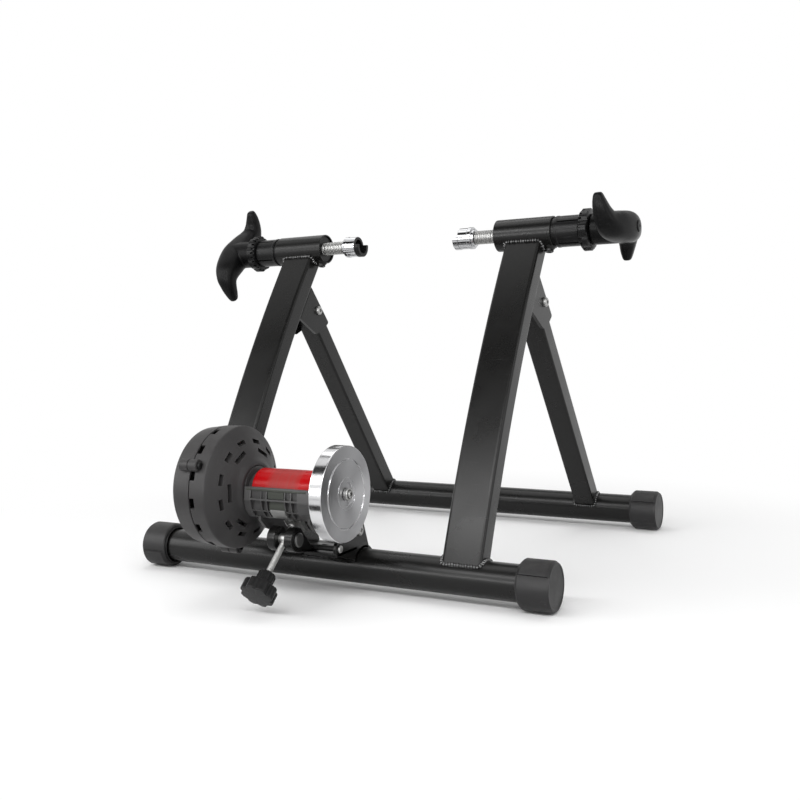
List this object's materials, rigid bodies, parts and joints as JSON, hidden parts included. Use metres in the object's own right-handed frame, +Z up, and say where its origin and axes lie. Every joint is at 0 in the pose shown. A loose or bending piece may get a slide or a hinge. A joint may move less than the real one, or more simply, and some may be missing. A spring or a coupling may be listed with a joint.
{
  "type": "wheel-on turbo trainer",
  "caption": "Folding wheel-on turbo trainer: tube A-frame, screw clamps for the rear axle, and a tilting magnetic brake with roller, flywheel and adjusting knob.",
  "frame": {"origin": "on the floor, under the middle of the trainer's bounding box", "axes": "+X along the floor tubes to the rider's right, +Y from the front tube with the resistance unit to the rear tube, +Z up"},
  "size_m": [0.5956, 0.5944, 0.4606],
  "materials": {
    "gloss_black_paint": "gloss powder coat, black",
    "black_plastic": "moulded, fine grain, black",
    "foot_plastic": "moulded, satin, black",
    "handle_plastic": "moulded, satin gloss, black",
    "charcoal_plastic": "moulded, fine grain, charcoal",
    "red_roller": "satin urethane, dulled where the tyre runs",
    "chrome": "polished",
    "turned_steel": "turned face, polished rim",
    "zinc_steel": "zinc plated",
    "aluminium": "plain",
    "ferrite": "pressed ferrite, dark grey"
  },
  "bodies": {
    "frame": {"front_base_tube": "gloss_black_paint", "unit_bracket": "gloss_black_paint", "bracket_bolt": "zinc_steel", "cross_nut": "zinc_steel", "left_upright": "gloss_black_paint", "left_clamp_housing": "gloss_black_paint", "left_guide_sleeve": "black_plastic", "left_hinge_bracket": "gloss_black_paint", "left_pivot_bolt": "zinc_steel", "left_pivot_nut": "zinc_steel", "right_upright": "gloss_black_paint", "right_clamp_housing": "gloss_black_paint", "right_guide_sleeve": "black_plastic", "right_hinge_bracket": "gloss_black_paint", "right_pivot_bolt": "zinc_steel", "right_pivot_nut": "zinc_steel"},
    "rear_frame": {"rear_base_tube": "gloss_black_paint", "left_rear_leg": "gloss_black_paint", "right_rear_leg": "gloss_black_paint"},
    "unit": {"roller_cradle": "black_plastic", "left_bearing": "zinc_steel", "right_bearing": "zinc_steel", "inner_magnet_shell": "charcoal_plastic", "outer_magnet_shell": "charcoal_plastic", "magnet_plate": "zinc_steel", "unit_hinge_pin": "zinc_steel", "unit_hinge_nut": "zinc_steel", "pressure_clip": "zinc_steel", "shell_screw_1": "zinc_steel", "shell_screw_2": "zinc_steel", "shell_screw_3": "zinc_steel", "magnet_1": "ferrite", "magnet_2": "ferrite", "magnet_3": "ferrite", "magnet_4": "ferrite"},
    "roller_train": {"roller_shaft": "zinc_steel", "roller_sleeve": "red_roller", "flywheel": "turned_steel", "flywheel_nut": "zinc_steel", "rotor_disc": "aluminium"},
    "rod_tip": {"ball_tip": "zinc_steel"},
    "adjuster": {"adjusting_rod": "zinc_steel", "star_knob": "black_plastic"},
    "front_left_foot": {"front_left_foot": "foot_plastic"},
    "front_right_foot": {"front_right_foot": "foot_plastic"},
    "rear_left_foot": {"rear_left_foot": "foot_plastic"},
    "rear_right_foot": {"rear_right_foot": "foot_plastic"},
    "left_cup": {"left_cup_shell": "chrome", "left_cup_core": "black_plastic"},
    "left_screw": {"left_spindle": "zinc_steel", "left_handle": "handle_plastic", "left_handle_cap": "handle_plastic"},
    "left_ring": {"left_lock_ring": "black_plastic"},
    "right_cup": {"right_cup_shell": "chrome", "right_cup_core": "black_plastic"},
    "right_screw": {"right_spindle": "zinc_steel", "right_handle": "handle_plastic", "right_handle_cap": "handle_plastic"},
    "right_ring": {"right_lock_ring": "black_plastic"}
  },
  "joints": [
    {"name": "rear_fold", "type": "hinge", "parent": "frame", "child": "rear_frame", "pos_m": [0, 0.05779, 0.31133], "axis": [1, 0, 0], "range_deg": [-62, 0]},
    {"name": "front_left_foot_turn", "type": "hinge", "parent": "frame", "child": "front_left_foot", "pos_m": [-0.242, -0.14971, 0.0261], "axis": [1, 0, 0], "continuous": true},
    {"name": "front_right_foot_turn", "type": "hinge", "parent": "frame", "child": "front_right_foot", "pos_m": [0.242, -0.14971, 0.0261], "axis": [1, 0, 0], "continuous": true},
    {"name": "rear_left_foot_turn", "type": "hinge", "parent": "rear_frame", "child": "rear_left_foot", "pos_m": [-0.242, 0.27229, 0.0261], "axis": [1, 0, 0], "continuous": true},
    {"name": "rear_right_foot_turn", "type": "hinge", "parent": "rear_frame", "child": "rear_right_foot", "pos_m": [0.242, 0.27229, 0.0261], "axis": [1, 0, 0], "continuous": true},
    {"name": "left_cup_slide", "type": "slide", "parent": "frame", "child": "left_cup", "axis": [-1, 0, 0], "range_m": [0, 0.028]},
    {"name": "left_clamp_turn", "type": "hinge", "parent": "left_cup", "child": "left_screw", "pos_m": [-0.27, 0.05629, 0.39433], "axis": [-1, 0, 0], "range_deg": [0, 3960]},
    {"name": "left_ring_turn", "type": "hinge", "parent": "frame", "child": "left_ring", "pos_m": [-0.237, 0.05629, 0.39433], "axis": [-1, 0, 0], "continuous": true},
    {"name": "right_cup_slide", "type": "slide", "parent": "frame", "child": "right_cup", "axis": [1, 0, 0], "range_m": [0, 0.028]},
    {"name": "right_clamp_turn", "type": "hinge", "parent": "right_cup", "child": "right_screw", "pos_m": [0.27, 0.05629, 0.39433], "axis": [1, 0, 0], "range_deg": [0, 3960]},
    {"name": "right_ring_turn", "type": "hinge", "parent": "frame", "child": "right_ring", "pos_m": [0.237, 0.05629, 0.39433], "axis": [1, 0, 0], "continuous": true},
    {"name": "unit_tilt", "type": "hinge", "parent": "frame", "child": "unit", "pos_m": [0, -0.15771, 0.0669], "axis": [1, 0, 0], "range_deg": [-28, 0]},
    {"name": "roller_spin", "type": "hinge", "parent": "unit", "child": "roller_train", "pos_m": [0, -0.22201, 0.11823], "axis": [1, 0, 0], "continuous": true},
    {"name": "rod_slide", "type": "slide", "parent": "frame", "child": "rod_tip", "axis": [0, 0.7547, 0.6561], "range_m": [0, 0.0214]},
    {"name": "knob_turn", "type": "hinge", "parent": "rod_tip", "child": "adjuster", "pos_m": [-0.006, -0.23071, 0.0684], "axis": [0, 0.7547, 0.6561], "range_deg": [0, 6122]}
  ],
  "couplings": [
    {"joint": "left_cup_slide", "follows": "left_clamp_turn", "m_per_rad": 0.00039789},
    {"joint": "right_cup_slide", "follows": "right_clamp_turn", "m_per_rad": 0.00039789},
    {"joint": "rod_slide", "follows": "unit_tilt", "m_per_rad": -0.043483},
    {"joint": "knob_turn", "follows": "unit_tilt", "ratio": -218.57}
  ]
}
